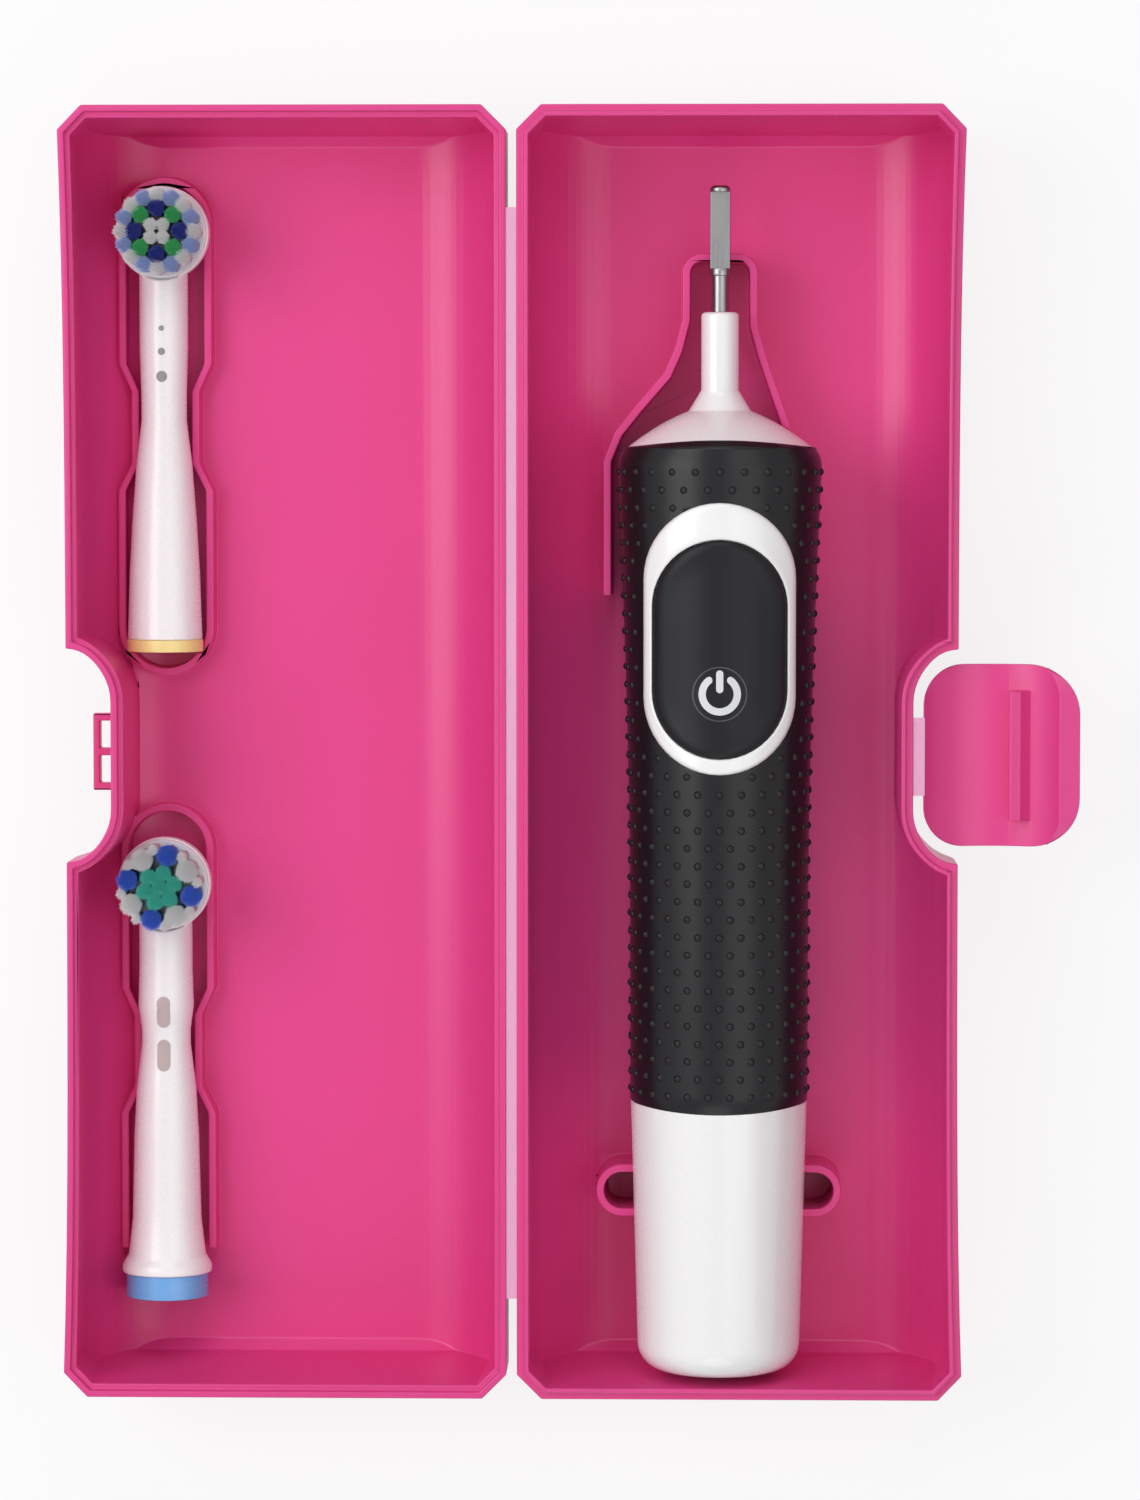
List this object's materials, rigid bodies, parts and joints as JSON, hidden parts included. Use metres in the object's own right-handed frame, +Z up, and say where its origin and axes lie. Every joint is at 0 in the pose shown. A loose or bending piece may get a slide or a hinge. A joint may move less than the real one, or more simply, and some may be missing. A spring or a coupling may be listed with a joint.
{
  "type": "electric toothbrush travel case",
  "caption": "Two-part hinged travel case with a side latch flap, holding an electric toothbrush handle and two spare brush heads in moulded ribs.",
  "frame": {"origin": "middle of the base's flat outer back face, on the surface that the open case lies on", "axes": "+X across, from the lid to the base and its latch; +Y along the case towards the brush end; +Z up, out of the open case"},
  "size_m": [0.1652, 0.21, 0.0345],
  "materials": {
    "case_pink": "satin moulded polypropylene",
    "film_pink": "thin translucent hinge film",
    "handle_white": "smooth white housing plastic",
    "grip_rubber": "soft dimpled black grip",
    "button_black": "smooth black button",
    "shaft_steel": "turned steel",
    "bushing_brass": "sintered bronze",
    "seal_rubber": "soft seal",
    "frame_plastic": "moulded inner plastic",
    "cell_wrap": "shrink-wrapped cell",
    "contact_nickel": "nickel strip",
    "motor_can": "plated steel can",
    "board_green": "coated board",
    "coil_copper": "enamelled copper winding",
    "head_white": "smooth white plastic",
    "ring_yellow": "smooth coloured ring",
    "ring_blue": "smooth coloured ring",
    "link_plastic": "acetal",
    "disc_plastic": "smooth pale disc",
    "bristle_blue": "nylon filaments",
    "bristle_green": "nylon filaments",
    "bristle_white": "nylon filaments"
  },
  "bodies": {
    "base": {"base_shell": "case_pink", "lid_hinge_strip": "film_pink", "latch_hinge_strip": "film_pink"},
    "lid": {"lid_shell": "case_pink"},
    "latch": {"latch_flap": "case_pink"},
    "handle": {"main_housing": "handle_white", "grip_sleeve": "grip_rubber", "button_bezel": "handle_white", "shaft_bushing": "bushing_brass", "shaft_seal": "seal_rubber", "chassis": "frame_plastic", "battery_cell": "cell_wrap", "battery_contacts": "contact_nickel", "motor": "motor_can", "gear_axle": "shaft_steel", "circuit_board": "board_green", "button_switch": "button_black", "charging_coil": "coil_copper", "bottom_cap": "handle_white", "cap_seal": "seal_rubber"},
    "button": {"power_button": "button_black"},
    "shaft": {"drive_shaft": "shaft_steel", "rocker_arm": "shaft_steel"},
    "gear": {"drive_gear": "frame_plastic"},
    "pinion": {"motor_pinion": "bushing_brass"},
    "upper_head": {"upper_head_sleeve": "head_white", "upper_head_ring": "ring_yellow", "upper_head_pin": "shaft_steel"},
    "upper_disc": {"upper_head_disc": "disc_plastic", "upper_outer_bristles": "bristle_blue", "upper_middle_bristles": "bristle_green", "upper_centre_bristles": "bristle_white"},
    "upper_link": {"upper_head_link": "link_plastic"},
    "lower_head": {"lower_head_sleeve": "head_white", "lower_head_ring": "ring_blue", "lower_head_pin": "shaft_steel"},
    "lower_disc": {"lower_head_disc": "disc_plastic", "lower_outer_bristles": "bristle_blue", "lower_middle_bristles": "bristle_white", "lower_centre_bristles": "bristle_green"},
    "lower_link": {"lower_head_link": "link_plastic"}
  },
  "joints": [
    {"name": "lid_hinge", "type": "hinge", "parent": "base", "child": "lid", "pos_m": [-0.0371, 0, 0.0271], "axis": [0, 1, 0], "range_deg": [0, 180], "deforming": ["lid_hinge_strip"]},
    {"name": "latch_hinge", "type": "hinge", "parent": "base", "child": "latch", "pos_m": [0.02875, 0, 0.02645], "axis": [0, -1, 0], "range_deg": [-30, 90], "stiffness_Nm_per_rad": 0.006, "deforming": ["latch_hinge_strip"]},
    {"name": "handle_lift", "type": "slide", "parent": "base", "child": "handle", "axis": [0, 0, -1], "range_m": [-0.08, 0]},
    {"name": "button_press", "type": "slide", "parent": "handle", "child": "button", "axis": [0, 0, -1], "range_m": [0, 0.0006], "stiffness_N_per_m": 3000},
    {"name": "shaft_swing", "type": "hinge", "parent": "handle", "child": "shaft", "pos_m": [-0.0034, 0.0387, 0.0179], "axis": [0, 1, 0], "range_deg": [-19, 19]},
    {"name": "gear_spin", "type": "hinge", "parent": "handle", "child": "gear", "pos_m": [-0.0034, 0.0247, 0.01246], "axis": [0, 1, 0], "continuous": true},
    {"name": "pinion_spin", "type": "hinge", "parent": "handle", "child": "pinion", "pos_m": [-0.0034, 0.0247, 0.0179], "axis": [0, 1, 0], "continuous": true},
    {"name": "upper_head_lift", "type": "slide", "parent": "lid", "child": "upper_head", "axis": [0, 0, -1], "range_m": [-0.05, 0]},
    {"name": "upper_disc_swing", "type": "hinge", "parent": "upper_head", "child": "upper_disc", "pos_m": [-0.095, 0.085, 0.0086], "axis": [0, 0, 1], "range_deg": [-22, 22]},
    {"name": "upper_link_swing", "type": "hinge", "parent": "upper_head", "child": "upper_link", "pos_m": [-0.095, 0.085, 0.0086], "axis": [0, 1, 0], "range_deg": [-18.04, 18.04]},
    {"name": "lower_head_lift", "type": "slide", "parent": "lid", "child": "lower_head", "axis": [0, 0, -1], "range_m": [-0.05, 0]},
    {"name": "lower_disc_swing", "type": "hinge", "parent": "lower_head", "child": "lower_disc", "pos_m": [-0.095, -0.0221, 0.0097], "axis": [0, 0, 1], "range_deg": [-22, 22]},
    {"name": "lower_link_swing", "type": "hinge", "parent": "lower_head", "child": "lower_link", "pos_m": [-0.095, -0.0221, 0.0097], "axis": [0, 1, 0], "range_deg": [-18.04, 18.04]}
  ],
  "couplings": [
    {"joint": "pinion_spin", "follows": "gear_spin", "ratio": -2.4},
    {"joint": "upper_link_swing", "follows": "upper_disc_swing", "ratio": 0.82},
    {"joint": "lower_link_swing", "follows": "lower_disc_swing", "ratio": 0.82}
  ]
}
